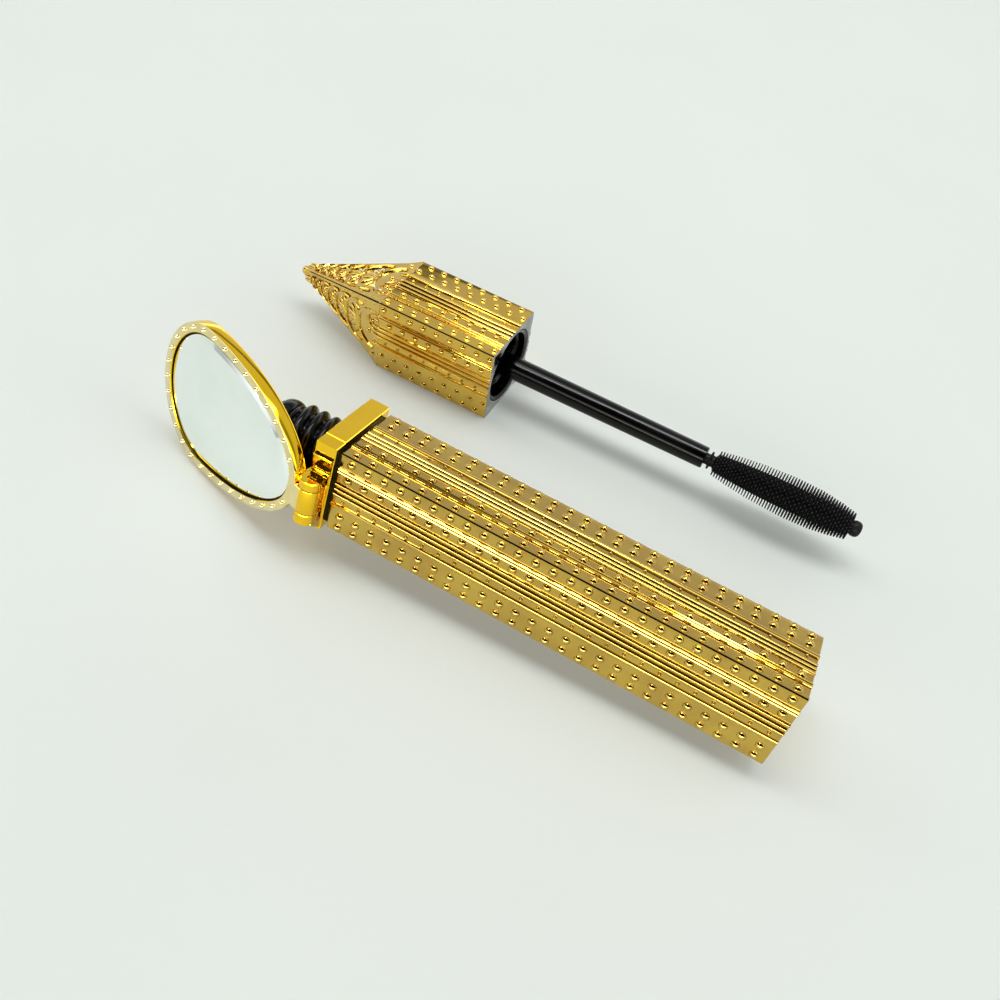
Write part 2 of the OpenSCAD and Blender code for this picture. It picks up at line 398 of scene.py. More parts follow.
GILT = gilt_plated_abs("gilt_plated_abs", "#B28D14", "#C29F22")
LIT_CAP_GILT = gilt_plated_abs("lit_gilt_plated_abs", "#D2A822", "#DEB832")
POLISHED = polished_gilt_abs()
PAINTED_PALE_RIM_GILT = rim_gilt_painted_pale()
BLACK = black_gloss_pp()
GREY = bare_grey_abs()
GLASS = silvered_glass()
CORE = black_pbt()
BRISTLE = black_bristle_tpe()
WIPER = soft_ldpe()
PAD = black_foam()
LINER = white_pe()
STEEL = drawn_steel()


# ---------------------------------------------------------------- shaping
def deselect():
    """Leaves edit mode with nothing selected."""
    if bpy.context.mode != "OBJECT":
        bpy.ops.object.mode_set(mode="OBJECT")
    bpy.ops.object.select_all(action="DESELECT")


def pick(obj):
    """Makes obj the only selected object and the active one."""
    deselect()
    obj.select_set(True)
    bpy.context.view_layer.objects.active = obj


MERGE_DISTANCE = 1e-4


def clean(obj, fill=True):
    """Merges doubles, closes open ends if asked and turns the faces outwards."""
    pick(obj)
    bpy.ops.object.mode_set(mode="EDIT")
    bpy.ops.mesh.select_all(action="SELECT")
    bpy.ops.mesh.remove_doubles(threshold=MERGE_DISTANCE)
    if fill:
        bpy.ops.mesh.select_all(action="SELECT")
        bpy.ops.mesh.fill_holes(sides=0)
    bpy.ops.mesh.select_all(action="SELECT")
    bpy.ops.mesh.normals_make_consistent(inside=False)
    bpy.ops.object.mode_set(mode="OBJECT")
    return obj


def wrap(columns, rows, point, fill=True):
    """A grid wrapped round into a skin: point(i, j) places column i of row j, and column 0 meets the last."""
    deselect()
    bpy.ops.mesh.primitive_grid_add(x_subdivisions=columns, y_subdivisions=rows - 1, size=1)
    obj = bpy.context.object
    for vertex in obj.data.vertices:
        vertex.co = point(vertex.index % (columns + 1) % columns, vertex.index // (columns + 1))
    return clean(obj, fill=fill)


def modify(obj, kind, **settings):
    """Adds one modifier and applies it."""
    pick(obj)
    modifier = obj.modifiers.new(kind, kind)
    for name, value in settings.items():
        setattr(modifier, name, value)
    bpy.ops.object.modifier_apply(modifier=modifier.name)
    return obj


SHARP_EDGE = math.radians(30)


def soften(obj, width):
    """Rounds the sharp edges."""
    return modify(obj, "BEVEL", width=width, segments=2, limit_method="ANGLE", angle_limit=SHARP_EDGE)


def carried(ring, stations, square_bore=False):
    """A squarish ring of (y, z) points carried along X through stations.

    A station is (x, inset, bore): half the width of a bore, or None where the ring keeps its outer shape."""

    def point(i, j):
        x, inset, bore = stations[j]
        y, z = ring[i]
        reach = max(abs(y), abs(z)) if square_bore or not bore else math.hypot(y, z)
        size = bore / reach if bore else (reach - inset) / reach
        return x, y * size, z * size

    return wrap(len(ring), len(stations), point, fill=False)


def turned(profile, segments=48):
    """A body turned about X from (x, radius) points; a radius of 0 closes an end."""

    def point(i, j):
        x, radius = profile[j]
        angle = 2 * math.pi * i / segments
        return x, radius * math.cos(angle), radius * math.sin(angle)

    return wrap(segments, len(profile), point)


def block(low, high, edge=0.0):
    """A box between two corners with rounded edges."""
    deselect()
    middle = [(a + b) / 2 for a, b in zip(low, high)]
    bpy.ops.mesh.primitive_cube_add(size=1, location=middle, scale=[b - a for a, b in zip(low, high)])
    bpy.ops.object.transform_apply(location=True, rotation=True, scale=True)
    obj = bpy.context.object
    return soften(obj, edge) if edge else obj


def post(centre, radius, low, high, edge=0.1, segments=40):
    """A round post along Z with rounded ends."""
    deselect()
    bpy.ops.mesh.primitive_cylinder_add(
        vertices=segments, radius=radius, depth=high - low, location=(centre[0], centre[1], (low + high) / 2)
    )
    bpy.ops.object.transform_apply(location=True, rotation=True, scale=True)
    return soften(bpy.context.object, edge)


def copied(obj, matrix):
    """A copy with its own mesh, moved by a matrix."""
    twin = obj.copy()
    twin.data = obj.data.copy()
    twin.data.transform(matrix)
    bpy.context.collection.objects.link(twin)
    return twin


def discard(obj):
    """Removes a pattern that has been copied."""
    bpy.data.objects.remove(obj)


def joined(objects):
    """Several objects as one."""
    pick(objects[0])
    for obj in objects[1:]:
        obj.select_set(True)
    if len(objects) > 1:
        bpy.ops.object.join()
    return bpy.context.view_layer.objects.active


def cut(obj, tool):
    """Takes a tool's volume out of a body."""
    modify(obj, "BOOLEAN", operation="DIFFERENCE", object=tool, solver="EXACT")
    discard(tool)


def complete(obj, name, place, body, materials, replaced=(), smooth=35):
    """Puts a piece in its place, with its name, finish, body and the nodes that it stands for."""
    obj.name = name
    obj.data.name = name
    obj.data.transform(place)
    obj.data.materials.clear()
    for material in materials:
        obj.data.materials.append(material)
    pick(obj)
    bpy.ops.object.shade_smooth_by_angle(angle=math.radians(smooth))
    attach(obj, body)
    if replaced:
        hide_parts(*replaced)


# ---------------------------------------------------------------- relief of the gilt faces
# Ribs of one face: middle as a share of the side from the ridge corner, and width in millimetres
RIBS = ((0.188, 0.5), (0.224, 0.5), (0.385, 0.8), (0.45, 0.8), (0.515, 0.8), (0.65, 0.95))
# Rows of studs: place on the face, radius, height and shift along the row as a share of the pitch
SLEEVE_STUDS = (
    (0.09, 0.8, 0.64, 0.0),
    (0.295, 0.82, 0.64, 0.0),
    (0.583, 0.36, 0.44, 0.0),
    (0.785, 0.82, 0.64, 0.0),
    (0.925, 0.8, 0.64, 0.0),
)
CAP_STUDS = (
    (0.09, 0.68, 0.58, 0.0),
    (0.295, 0.68, 0.58, 0.5),
    (0.583, 0.34, 0.42, 0.25),
    (0.79, 0.66, 0.58, 0.0),
    (0.93, 0.66, 0.58, 0.5),
)
RIB_STEPS = 6
# Under 1, a rib's round top is fuller than a half sine
RIB_FULLNESS = 0.8
# Low pleats in the band between the last rib and the plain corner
BAND_CREASE = 0.05
BAND_CREASES = (0.7, 0.74, 0.785, 0.83, 0.88, 0.925, 0.97)
# The raised strip along the ridge corner: height, chamfer, and where its top ends and its foot lies
RIDGE = 0.18
RIDGE_CHAMFER = 0.12
RIDGE_TOP = 0.42
RIDGE_FOOT = 0.6
PLAIN_CHAMFER = 0.16
END_CHAMFER = 0.12


def face_outline(side):
    """One face from its ridge corner to the next corner, as (along, height) points."""
    points = [(RIDGE_CHAMFER, RIDGE), (RIDGE_TOP, RIDGE), (RIDGE_FOOT, 0.0)]
    for share, width in RIBS:
        for step in range(RIB_STEPS + 1):
            angle = math.pi * step / RIB_STEPS
            along = share * side - math.cos(angle) * width / 2
            points.append((along, RELIEF * math.sin(angle) ** RIB_FULLNESS if 0 < step < RIB_STEPS else 0.0))
    for number, share in enumerate(BAND_CREASES):
        points.append((share * side, BAND_CREASE * (number % 2)))
    points.append((side - PLAIN_CHAMFER - FLAT_DROP, 0.0))
    return points


def ribbed_ring(side):
    """The ribbed square as (y, z) points; its ridge corners are at -Y+Z and +Y-Z."""
    half = side / 2
    low = half - FLAT_DROP
    face = face_outline(side)
    top = [(along - half, low + height) for along, height in face]
    near = [(-low - height, half - along) for along, height in reversed(face)]
    ring = near + top
    return ring + [(-y, -z) for y, z in ring]


# Over 1, a stud is more of a cone than a dome
STUD_TAPER = 1.35
STUD_SINK = 0.1


def stud(radius, height):
    """One cast stud: a blunt cone whose foot is sunk in the face. Up is +Z."""
    deselect()
    bpy.ops.mesh.primitive_uv_sphere_add(segments=12, ring_count=8, radius=1.0)
    obj = bpy.context.object
    for vertex in obj.data.vertices:
        x, y, z = vertex.co
        vertex.co = (radius * x, radius * y, height * z**STUD_TAPER if z > 0 else STUD_SINK * z)
    return obj


def face_turns():
    """The turns that take the top face to itself and the near, bottom and far faces, ridge to ridge."""
    mirrored = Matrix.Scale(-1, 4, Vector((0, 1, 0)))
    near = Matrix.Rotation(math.radians(90), 4, "X") @ mirrored
    half_turn = Matrix.Rotation(math.pi, 4, "X")
    return [Matrix.Identity(4), near, half_turn, half_turn @ near]


def stud_rows(side, rows, count, first, pitch):
    """All the studs of the four faces, each row an array of one stud."""
    made = []
    for share, radius, height, shift in rows:
        one = stud(radius, height)
        start = (first + shift * pitch, share * side - side / 2, side / 2 - FLAT_DROP)
        one.data.transform(Matrix.Translation(start))
        steps = count - 1 if shift else count
        modify(
            one, "ARRAY", count=steps, use_relative_offset=False, use_constant_offset=True,
            constant_offset_displace=(pitch, 0, 0),
        )
        made += [copied(one, turn) for turn in face_turns()]
        discard(one)
    for obj in made:
        clean(obj, fill=False)
    return made


# ---------------------------------------------------------------- the tube
def outer_sleeve():
    """Square sleeve with cast ribs and studs, open at the base round the plug."""
    stations = [
        (0.0, 0, BORE_HALF), (0.0, END_CHAMFER, None), (END_CHAMFER, 0, None),
        (SLEEVE_LEN - END_CHAMFER, 0, None), (SLEEVE_LEN, END_CHAMFER, None),
        (SLEEVE_LEN, 0, BORE_HALF + 0.1), (SLEEVE_LEN - 0.1, 0, BORE_HALF), (SLEEVE_LEN - 3.2, 0, BORE_HALF),
    ]
    skin = carried(ribbed_ring(SLEEVE_SIDE), stations, square_bore=True)
    studs = stud_rows(SLEEVE_SIDE, SLEEVE_STUDS, count=26, first=2.05, pitch=3.06)
    whole = joined([skin] + studs)
    complete(whole, "outer_sleeve_relief", AT_TUBE, "tube", [GILT], ["outer_sleeve"])


def base_plug():
    """Plug that closes the base, with a shallow dish moulded in it."""
    face = SLEEVE_LEN - PLUG_RECESS
    plug = block((face - PLUG_LEN, -BORE_HALF, -BORE_HALF), (face, BORE_HALF, BORE_HALF))
    pick(plug)
    for polygon in plug.data.polygons:
        polygon.select = polygon.normal.x > 0.9
    bpy.ops.object.mode_set(mode="EDIT")
    bpy.ops.mesh.inset(thickness=1.1)
    bpy.ops.mesh.inset(thickness=0.35, depth=-0.35)
    bpy.ops.object.mode_set(mode="OBJECT")
    soften(plug, 0.15)
    complete(plug, "base_plug_dished", AT_TUBE, "tube", [POLISHED], ["base_plug"])


# Neck: a smooth lip, then two starts of a coarse helical thread
THREAD_STARTS = 2
THREAD_LEAD = 4.7
THREAD_HEIGHT = 1.15
THREAD_FULLNESS = 0.6
THREAD_RUN_IN = 0.9
THREAD_START = NECK_END + 2.5
LIP_HEIGHT = 0.6
LIP_FULLNESS = 0.45
NECK_WALL = 0.9


def neck_radius(x, angle):
    """Radius of the neck at a place and a turn about it."""
    if x < THREAD_START:
        share = (x - NECK_END) / (THREAD_START - NECK_END)
        return NECK_R + LIP_HEIGHT * math.sin(math.pi * min(1.0, share * 1.02)) ** LIP_FULLNESS
    turn = (x - THREAD_START) / THREAD_LEAD * THREAD_STARTS - angle * THREAD_STARTS / (2 * math.pi)
    wave = 0.5 - 0.5 * math.cos(2 * math.pi * turn)
    return NECK_R + THREAD_HEIGHT * wave**THREAD_FULLNESS * min(1.0, (x - THREAD_START) / THREAD_RUN_IN)


def inner_bottle():
    """Black bottle: square flange between sleeve and collar, and the threaded neck with its lip."""
    segments = 72
    steps = 72
    bore = NECK_R - NECK_WALL
    mouth = [
        (NECK_END + 1.2, bore), (NECK_END + 0.1, bore), (NECK_END, bore + 0.15), (NECK_END, NECK_R - 0.1),
    ]

    def point(i, j):
        angle = 2 * math.pi * i / segments
        if j < len(mouth):
            x, radius = mouth[j]
        else:
            x = NECK_END + 0.05 + (COLLAR_X + 0.5 - NECK_END) * (j - len(mouth)) / steps
            radius = neck_radius(x, angle)
        return x, radius * math.cos(angle), radius * math.sin(angle)

    neck = wrap(segments, steps + len(mouth) + 1, point, fill=False)
    half = SLEEVE_SIDE / 2 - FLANGE_INSET
    flange = block((-FLANGE_LEN - 0.02, -half, -half), (0.02, half, half), 0.1)
    bottle = turned([(0.0, 5.0), (0.1, 6.2), (0.2, 6.3), (75.5, 6.3), (76.8, 5.9), (77.4, 4.8), (77.5, 0.0)])
    whole = joined([neck, flange, bottle])
    names = ["inner_bottle"]
    complete(whole, "inner_bottle_threaded", AT_TUBE, "tube", [BLACK], names, smooth=50)


WEB_INSET = 0.05
WEB_FROM = PIN_X - BARREL_R + WEB_INSET
WEB_TO = PIN_X + BARREL_R - WEB_INSET


def lug(low, high):
    """A hinge lug: a round end about the pin and a web back to the collar."""
    eye = post((PIN_X, PIN_Y), BARREL_R, low, high, 0.18)
    collar_face = -COLLAR_SIDE / 2 + 0.5
    web = block((WEB_FROM, PIN_Y, low + WEB_INSET), (WEB_TO, collar_face, high - WEB_INSET), 0.15)
    return [eye, web]


def collar_ring():
    """The square of the collar, whose corners lie a hair lower than its flats."""
    half = COLLAR_SIDE / 2
    flat = half - 2.9
    step = half - 0.09
    step_run = 0.14
    edge = 0.14
    corner = [(flat, half), (flat + step_run, step), (step, step), (step, flat + step_run), (half, flat)]
    ring = corner + [(z, -y) for y, z in corner]
    ring += [(-y, -z) for y, z in corner] + [(-z, y) for y, z in corner]
    bore = NECK_R + 0.02
    stations = [
        (COLLAR_X + 0.3, 0, bore), (COLLAR_X, 0, bore + 0.15), (COLLAR_X, edge, None),
        (COLLAR_X + edge, 0, None), (-FLANGE_LEN - edge, 0, None), (-FLANGE_LEN, edge, None),
        (-FLANGE_LEN, 0, bore + 0.3),
    ]
    return carried(ring, stations)


def collar():
    """Smooth square collar with creased corners, two hinge lugs and the gusset under the lower one."""
    half = COLLAR_SIDE / 2
    upper = lug(BARREL_TOP + SEAT_GAP, LUG_TOP)
    lower = lug(EYE_FOOT, BARREL_FOOT - SEAT_GAP)
    ledge = block((COLLAR_X + 0.15, -half - 0.5, 5.9), (-FLANGE_LEN - 0.15, -half + 0.4, 6.3), 0.1)
    gusset = block((WEB_FROM, PIN_Y - 0.9, -half + 0.2), (WEB_TO, -half + 0.5, EYE_FOOT + 0.4))
    for vertex in gusset.data.vertices:
        if vertex.co.y < -half and vertex.co.z < EYE_FOOT:
            vertex.co.z = EYE_FOOT + 0.02
    soften(gusset, 0.15)
    back_low = (COLLAR_X + 0.3, -half - 0.3, LUG_FOOT + 0.3)
    back_high = (-FLANGE_LEN - 0.3, -half + 0.4, LUG_TOP + 0.4)
    back = block(back_low, back_high, 0.15)
    hole = post((PIN_X, PIN_Y), PIN_R + 0.06, LUG_TOP - 0.35, LUG_TOP + 1, 0.02, 32)
    cut(upper[0], hole)
    whole = joined([collar_ring()] + upper + lower + [ledge, back, gusset])
    complete(whole, "collar_with_lugs", AT_TUBE, "tube", [POLISHED], ["collar"], smooth=20)


def hinge_pin():
    """Steel pin with domed ends, a little below the faces of the lugs."""
    low = EYE_FOOT + 0.3
    high = LUG_TOP - 0.4
    pin = post((PIN_X, PIN_Y), PIN_R, low, high, 0.3, 32)
    complete(pin, "hinge_pin_domed", AT_TUBE, "tube", [STEEL], ["hinge_pin"])


# ---------------------------------------------------------------- the mirror
EGG_COLUMNS = 120
RIM_STUDS = 32
# The rim's studs start TONGUE_END past the pin, where the tongue has run into the rim
TONGUE_END = 3.4


def egg(angle, inset):
    """A point of the egg outline: two half ellipses, short and long, that meet at the widest place."""
    reach = MIRROR_FAR if math.cos(angle) > 0 else MIRROR_NEAR
    return MIRROR_MID + (reach - inset) * math.cos(angle), (MIRROR_HALF_WIDTH - inset) * math.sin(angle)


def egg_body(profile):
    """A body with the egg outline from (inset, depth) points."""

    def point(i, j):
        inset, depth = profile[j]
        x, z = egg(2 * math.pi * i / EGG_COLUMNS, inset)
        return x, depth, z

    return wrap(EGG_COLUMNS, len(profile), point)


def egg_steps(count, inset):
    """Places evenly spaced round the egg outline."""
    fine = 720
    ring = [Vector(egg(2 * math.pi * i / fine, inset)) for i in range(fine + 1)]
    lengths = [0.0]
    for a, b in zip(ring, ring[1:]):
        lengths.append(lengths[-1] + (b - a).length)
    places = []
    index = 0
    for number in range(count):
        target = lengths[-1] * (number + 0.5) / count
        while lengths[index + 1] < target:
            index += 1
        places.append(ring[index])
    return places


def mirror_frame():
    """Egg-shaped frame: flat studded rim, rolled edges, plain back and the hinge barrel at its narrow end."""
    front, back = FRAME_FRONT, FRAME_BACK
    plate = egg_body(
        [
            (1.2, back), (0.6, back + 0.03), (0.2, back + 0.14), (0.04, back + 0.3), (0.0, back + 0.5),
            (0.0, front - 0.16), (0.04, front - 0.05), (0.14, front), (RIM_WIDTH - 0.16, front - 0.03),
            (RIM_WIDTH, front - 0.16), (RIM_WIDTH, SEAT_DEPTH),
        ]
    )
    barrel = post((0, 0), BARREL_R, BARREL_FOOT, BARREL_TOP, 0.15)
    tongue = block((0.0, back + 0.35, BARREL_FOOT + 0.02), (5.2, front - 0.02, BARREL_TOP - 0.02), 0.3)
    one = stud(0.52, 0.5)
    outward = Matrix.Rotation(math.radians(-90), 4, "X")
    places = [place for place in egg_steps(RIM_STUDS, RIM_WIDTH / 2) if place.x > TONGUE_END]
    studs = joined([copied(one, Matrix.Translation((x, front, z)) @ outward) for x, z in places])
    discard(one)
    clean(studs, fill=False)
    cut(tongue, egg_body([(RIM_WIDTH, SEAT_DEPTH), (RIM_WIDTH, front + 2)]))
    whole = joined([plate, barrel, tongue, studs])
    # The rim's front faces take the paler gold, a painted reflection of the pale table.
    rim = [
        face.index for face in whole.data.polygons if face.center.y > front - 0.08 and face.center.x > 1.0
    ]
    gilts = [POLISHED, PAINTED_PALE_RIM_GILT]
    complete(whole, "mirror_frame_studded", AT_MIRROR, "mirror", gilts, ["mirror_frame"])
    for index in rim:
        whole.data.polygons[index].material_index = 1


def mirror_glass():
    """Egg-shaped glass with a ground bevel round its edge."""
    inset = RIM_WIDTH + GLASS_GAP
    glass = egg_body(
        [
            (inset + 0.05, GLASS_BACK), (inset, GLASS_BACK + 0.05), (inset, GLASS_FRONT - 0.3),
            (inset + 0.05, GLASS_FRONT - 0.24), (inset + 0.85, GLASS_FRONT),
        ]
    )
    names = ["mirror_glass"]
    complete(glass, "mirror_glass_bevelled", AT_MIRROR, "mirror", [GLASS], names, smooth=5)


# ---------------------------------------------------------------- the cap
ROOF_X = -CAP_BODY_LEN
ROOF_HALF = CAP_SIDE / 2 - FLAT_DROP
ROOF_TIP = 1.3
ROOF_RUN = SPIRE_LEN - 2.0
ROOF_SLOPE = math.atan2(ROOF_HALF - ROOF_TIP, ROOF_RUN)
FACET = 0.07


def roof_half(x):
    """Half width of the roof at a place along the cap."""
    share = (ROOF_X - x) / ROOF_RUN
    return ROOF_HALF + (ROOF_TIP - ROOF_HALF) * share


def on_roof(u, across):
    """The frame of a place on the top face of the roof: u up the slope, across the face."""
    lean = Matrix.Rotation(-ROOF_SLOPE, 4, "Y")
    return Matrix.Translation((ROOF_X, 0, ROOF_HALF)) @ lean @ Matrix.Translation((-u, across, 0))


def roof_skin():
    """The plain roof: four faces that narrow to the tip, with a flat facet along every corner."""
    stations = [0.0, 0.02, 0.06, 0.12, 0.3, 0.6, 0.85, 1.0]

    def point(i, j):
        share = stations[j]
        x = ROOF_X - share * ROOF_RUN
        half = roof_half(x)
        facet = half * FACET * min(1.0, share / 0.12)
        ridge = 0.1 + 0.14 * (1 - share)
        ring = [(half - facet, half), (half, half - facet), (half, -half + ridge), (half - ridge, -half)]
        ring += [(-y, -z) for y, z in ring]
        y, z = ring[i]
        return x, y, z

    return wrap(8, len(stations), point)


def capsule(length, radius):
    """A rod along -X with round ends."""
    arc = [(radius * math.cos(a), radius * math.sin(a)) for a in (0.0, 0.4, 0.8, 1.2, math.pi / 2)]
    return turned(arc + [(-length - x, reach) for x, reach in reversed(arc)], 12)


def petal(length, width, height):
    """One leaf of a fan, a flattened drop that points along -X from its root."""
    deselect()
    bpy.ops.mesh.primitive_uv_sphere_add(segments=10, ring_count=6, radius=0.5)
    obj = bpy.context.object
    for vertex in obj.data.vertices:
        x, y, z = vertex.co
        taper = 1.0 - 0.45 * (x + 0.5)
        vertex.co = (length * (x - 0.5), width * y * taper, 2 * height * z)
    return obj


def arch(radius, band, height, sweep=200):
    """A rounded band bent in an arch whose crown points along -X."""
    steps = 20
    sides = 8

    def point(i, j):
        turn = math.radians(180 - sweep / 2 + sweep * j / (steps - 1))
        angle = 2 * math.pi * i / sides
        reach = radius + band / 2 * math.cos(angle)
        return reach * math.cos(turn), reach * math.sin(turn), height * math.sin(angle)

    return wrap(sides, steps, point)


# Tiers of fans up the roof: distance from the shoulder and radius of the arch
TIERS = ((5.8, 4.7), (9.8, 3.8), (13.2, 3.05), (16.1, 2.4), (18.5, 1.85), (20.5, 1.4))
FAN_ANGLES = (-72, -44, -15, 15, 44, 72)


def fan(u, radius):
    """One tier: an arch with leaves that spread under it."""
    ring = arch(radius, 0.3 * radius**0.5, 0.4)
    parts = [copied(ring, on_roof(u, 0))]
    discard(ring)
    leaf = petal(0.84 * radius, 0.34 * radius, 0.5)
    for angle in FAN_ANGLES:
        parts.append(copied(leaf, on_roof(u, 0) @ Matrix.Rotation(math.radians(angle), 4, "Z")))
    discard(leaf)
    return parts


# On the shoulder: arches of (radius, band, place up the slope, place across) and the places of the studs
SHOULDER_ARCHES = ((2.1, 0.75, 1.0, -2.94), (4.6, 0.8, 1.6, -0.2))
SHOULDER_STUDS = ((0.7, -3.6), (2.0, -2.6), (2.9, 0.6), (1.5, 2.6), (1.6, 5.9))


def shoulder_relief():
    """The two arches over the shoulder, the ribs that run up to them and the studs round them."""
    parts = []
    for radius, band, u, across in SHOULDER_ARCHES:
        ring = arch(radius, band, 0.4, 180)
        parts.append(copied(ring, on_roof(u, across)))
        discard(ring)
    for share, width in RIBS:
        rod = capsule(1.2, width / 2)
        parts.append(copied(rod, on_roof(0.35, share * CAP_SIDE - CAP_SIDE / 2)))
        discard(rod)
    one = stud(0.58, 0.5)
    parts += [copied(one, on_roof(u, across)) for u, across in SHOULDER_STUDS]
    discard(one)
    return parts


def roof_relief():
    """The cast relief of the four roof faces."""
    parts = shoulder_relief()
    for u, radius in TIERS:
        parts += fan(u, radius)
    face = joined(parts)
    clean(face, fill=False)
    faces = [copied(face, turn) for turn in face_turns()]
    discard(face)
    for obj in faces:
        clean(obj, fill=False)
    return faces


def ridge_rods():
    """The double ridge that runs up each ridge corner of the roof."""
    rods = []
    corner = ROOF_HALF - 0.1
    foot_gap = 0.9
    tip_gap = 0.35
    for on_top, on_side in ((0, 1), (1, 0)):
        start = Vector((ROOF_X, -corner + on_top * foot_gap, corner - on_side * foot_gap))
        end = Vector((ROOF_X - ROOF_RUN, -ROOF_TIP + on_top * tip_gap, ROOF_TIP - on_side * tip_gap))
        length = (end - start).length
        rod = capsule(length, 0.17)
        turn = (end - start).normalized().to_track_quat("-X", "Z").to_matrix().to_4x4()
        for half_turn in (Matrix.Identity(4), Matrix.Rotation(math.pi, 4, "X")):
            rods.append(copied(rod, half_turn @ Matrix.Translation(start) @ turn))
        discard(rod)
    return rods


def finial():
    """The blunt point: a lobed crown that the four ridges run into, and a small knob on it."""
    tip = -CAP_LEN
    knob = turned(
        [
            (tip, 0.0), (tip + 0.1, 0.5), (tip + 0.35, 0.85), (tip + 0.8, 1.05), (tip + 1.3, 1.1),
            (tip + 1.8, 1.3), (tip + 2.4, 1.5), (tip + 3.2, 1.4),
        ],
        24,
    )
    deselect()
    bpy.ops.mesh.primitive_uv_sphere_add(segments=12, ring_count=8, radius=1.0)
    lobe = bpy.context.object
    lobe.data.transform(Matrix.Diagonal((1.5, 0.42, 0.5, 1)))
    lobes = []
    for number in range(8):
        turn = Matrix.Rotation(math.pi * number / 4, 4, "X")
        reach = 1.65 if number % 2 else 1.3
        lobes.append(copied(lobe, turn @ Matrix.Translation((tip + 2.7, 0, reach))))
    discard(lobe)
    return [knob] + lobes


MOUTH_R = CAP_BORE_R + 0.3
MOUTH_DEPTH = 0.13


def cap_shell():
    """Gilt cap: ribbed square body, relief roof, finial, and the bare grey face of the mouth."""
    stations = [
        (-CAP_BODY_LEN - 0.4, 0.45, None), (-CAP_BODY_LEN, 0.05, None), (-CAP_BODY_LEN + 0.2, 0, None),
        (-END_CHAMFER, 0, None), (0.0, END_CHAMFER, None), (0.0, 0, MOUTH_R + 0.1),
        (-END_CHAMFER, 0, MOUTH_R), (-INNER_CAP_DEPTH - 2, 0, MOUTH_R),
    ]
    body = carried(ribbed_ring(CAP_SIDE), stations)
    studs = stud_rows(CAP_SIDE, CAP_STUDS, count=9, first=-CAP_BODY_LEN + 0.9, pitch=3.0)
    whole = joined([body] + studs + [roof_skin()] + roof_relief() + ridge_rods() + finial())
    corners = whole.data.vertices
    mouth = []
    for face in whole.data.polygons:
        if all(corners[number].co.x > -MOUTH_DEPTH for number in face.vertices):
            mouth.append(face.index)
    complete(whole, "cap_shell_relief", AT_CAP, "cap", [LIT_CAP_GILT, GREY], ["cap_shell"])
    for index in mouth:
        whole.data.polygons[index].material_index = 1


LIP_R = MOUTH_R - 0.05
INNER_THREAD_DEPTH = 0.45


def inner_cap():
    """Black threaded inner cap with a rounded lip, and two black blocks that cover the grey face of the mouth
    at its two ridge corners.
    """
    segments = 64
    steps = 40
    first = -0.4
    lip = [(-INNER_CAP_DEPTH, LIP_R), (-0.3, LIP_R), (-0.12, LIP_R - 0.15), (-0.15, LIP_R - 0.45)]

    def point(i, j):
        angle = 2 * math.pi * i / segments
        step = j - len(lip)
        if step < 0:
            x, radius = lip[j]
        elif step < steps:
            x = first - (INNER_CAP_DEPTH + first) * step / (steps - 1)
            turn = x / THREAD_LEAD * THREAD_STARTS - angle * THREAD_STARTS / (2 * math.pi)
            depth = INNER_THREAD_DEPTH * max(0.0, math.cos(2 * math.pi * turn)) if -11 < x < -2 else 0.0
            radius = INNER_CAP_R - depth
        else:
            x, radius = -INNER_CAP_DEPTH, 2.0
        return x, radius * math.cos(angle), radius * math.sin(angle)

    shell = wrap(segments, len(lip) + steps + 1, point, fill=False)
    modify(shell, "SOLIDIFY", thickness=0.02, offset=-1)
    inner, outer = 5.1, CAP_SIDE / 2 - 0.3
    # Two black blocks that cover the mouth's grey face at its two ridge corners.
    corner_blocks = [
        block((-0.6, -outer, inner), (0.03, -inner, outer), 0.05),
        block((-0.6, inner, -outer), (0.03, outer, -inner), 0.05),
    ]
    shell = joined([shell] + corner_blocks)
    complete(shell, "inner_cap_threaded", AT_CAP, "cap", [BLACK], ["inner_cap"], smooth=50)


# ---------------------------------------------------------------- the wand
PIN_RINGS = 49
PINS_IN_RING = 22
PIN_ROOT = 1.3


def wand_stem():
    """Black stem that tapers a little, with a chamfered shoulder before the brush."""
    root = -INNER_CAP_DEPTH - 0.5
    profile = [
        (root, 0.0), (root, 2.4), (-2.0, 2.36), (STEM_OUT - 1.4, 2.16), (STEM_OUT - 0.15, 2.14),
        (STEM_OUT, 1.98), (STEM_OUT, 1.1), (STEM_OUT - 0.4, 0.0),
    ]
    stem = turned(profile, 64)
    complete(stem, "wand_stem_tapered", AT_CAP, "cap", [BLACK], ["wand_stem"])


def brush_core():
    """Moulded core of the brush: ringed throat, ribbed barrel and the knob at its end."""
    profile = [
        (STEM_OUT - 0.6, 0.0), (STEM_OUT - 0.6, 1.1), (STEM_OUT + 0.75, 1.1), (STEM_OUT + 0.85, 1.7),
        (STEM_OUT + 1.0, 1.78), (STEM_OUT + 1.2, 1.7), (STEM_OUT + 1.3, 1.15), (BRISTLE_START - 0.25, 1.15),
        (BRISTLE_START, 1.7),
    ]
    pitch = (BRISTLE_END - BRISTLE_START - 0.6) / PIN_RINGS
    for number in range(PIN_RINGS):
        x = BRISTLE_START + 0.2 + number * pitch
        swell = 0.75 * math.sin(math.pi * (number + 4) / (PIN_RINGS + 6))
        profile += [(x, 1.78 + swell), (x + 0.45 * pitch, 1.6 + swell)]
    knob_x = BRISTLE_END - 0.1
    profile += [
        (knob_x - 0.35, 1.3), (knob_x - 0.1, 1.4), (knob_x + 0.2, 1.52), (knob_x + 0.8, 1.54),
        (knob_x + 1.25, 1.4), (knob_x + 1.55, 1.05), (knob_x + 1.67, 0.6), (knob_x + 1.7, 0.0),
    ]
    core = turned(profile, 32)
    complete(core, "brush_core_ringed", AT_CAP, "cap", [CORE], ["brush_core"])


